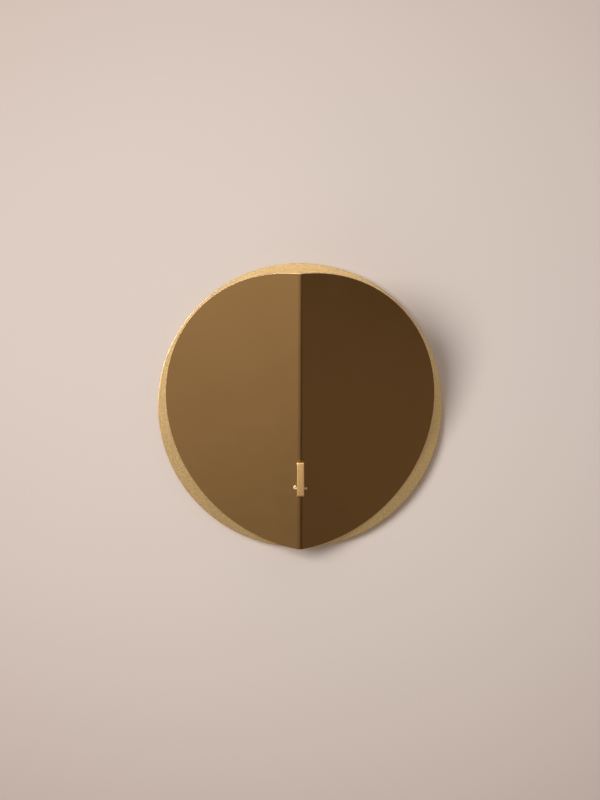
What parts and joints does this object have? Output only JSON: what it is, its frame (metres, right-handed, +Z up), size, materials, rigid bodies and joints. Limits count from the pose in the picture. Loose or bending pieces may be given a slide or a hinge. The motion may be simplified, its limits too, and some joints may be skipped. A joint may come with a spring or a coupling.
{
  "type": "wall sconce candle holder",
  "caption": "Round brass wall sconce: a flat disc carries a tealight cup on a bar, and a folded, leaning brass disc hangs on the bar in front as its shade, locked by a cross pin.",
  "frame": {"origin": "middle of the wall plate's back, in the plane of the wall, level with the back disc's centre", "axes": "+Z up, +X to the right as seen from the room, +Y into the wall; the sconce stands out towards -Y"},
  "size_m": [0.3, 0.14, 0.3008],
  "materials": {
    "disc_brass": "fine satin grain, lacquered",
    "shade_brass": "smooth satin, darkened",
    "arm_brass": "satin, fine draw lines along its length",
    "pin_brass": "drawn wire, polished by handling",
    "cup_brass": "turned, fine concentric lines",
    "zinc_steel": "zinc plated",
    "rail_steel": "matt black powder coat",
    "bumper_rubber": "matt"
  },
  "bodies": {
    "wall_bracket": {"wall_plate": "rail_steel"},
    "sconce": {"back_disc": "disc_brass", "shade": "shade_brass", "arm": "arm_brass", "candle_cup": "cup_brass", "cup_screw": "zinc_steel", "arm_plate": "rail_steel", "arm_screws": "zinc_steel", "arm_washers": "zinc_steel", "hanger_rail": "rail_steel", "rail_studs": "disc_brass", "rail_washers": "zinc_steel", "rail_nuts": "zinc_steel", "bumpers": "bumper_rubber"},
    "cross_pin": {"lock_pin": "pin_brass"}
  },
  "joints": [
    {"name": "lift_off_wall", "type": "slide", "parent": "wall_bracket", "child": "sconce", "axis": [0, 0, 1], "range_m": [0, 0.012]},
    {"name": "pin_withdraw", "type": "slide", "parent": "sconce", "child": "cross_pin", "axis": [-1, 0, 0], "range_m": [0, 0.015]}
  ]
}
